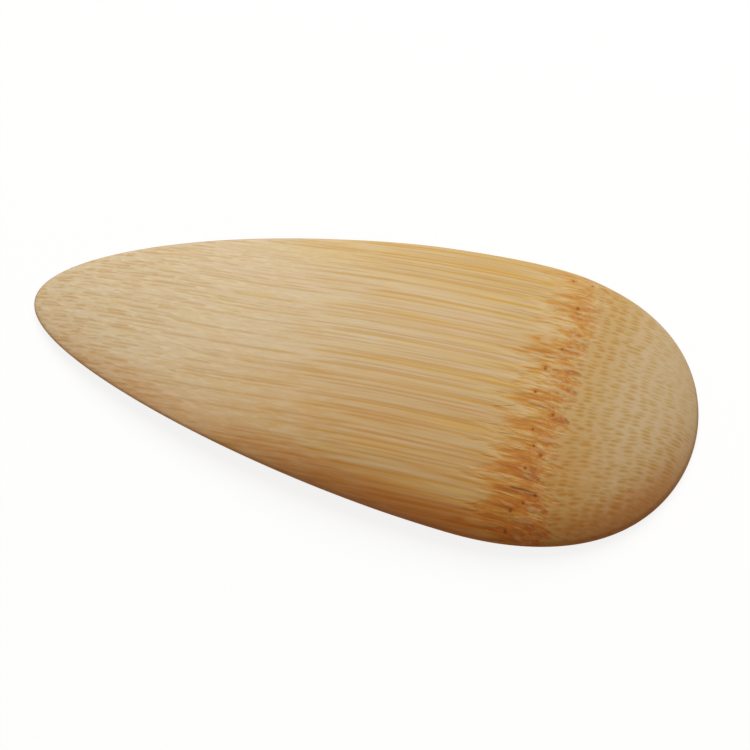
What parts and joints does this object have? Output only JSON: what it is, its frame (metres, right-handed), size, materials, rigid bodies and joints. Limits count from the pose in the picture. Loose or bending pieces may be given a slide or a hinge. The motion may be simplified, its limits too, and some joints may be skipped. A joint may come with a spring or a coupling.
{
  "type": "bamboo spoon",
  "caption": "Teardrop scoop spoon carved in one piece from thick bamboo, with a convex back, a shallow bowl and a growth node across its wide end.",
  "frame": {"origin": "under the middle of the spoon, on the surface that its rim rests on with the back upward", "axes": "+X along the grain from the handle tip to the lip, +Z out of the convex back"},
  "size_m": [0.1, 0.044, 0.0095],
  "materials": {
    "handle_bamboo": "satin, smooth sanded bamboo with long parallel fibre streaks",
    "node_bamboo": "satin, orange-brown stained growth node with small dark pits",
    "lip_bamboo": "satin, fibres cut across at a low angle into short fine flecks"
  },
  "bodies": {
    "root": {"handle_internode": "handle_bamboo", "node_band": "node_bamboo", "lip_internode": "lip_bamboo"}
  },
  "joints": []
}
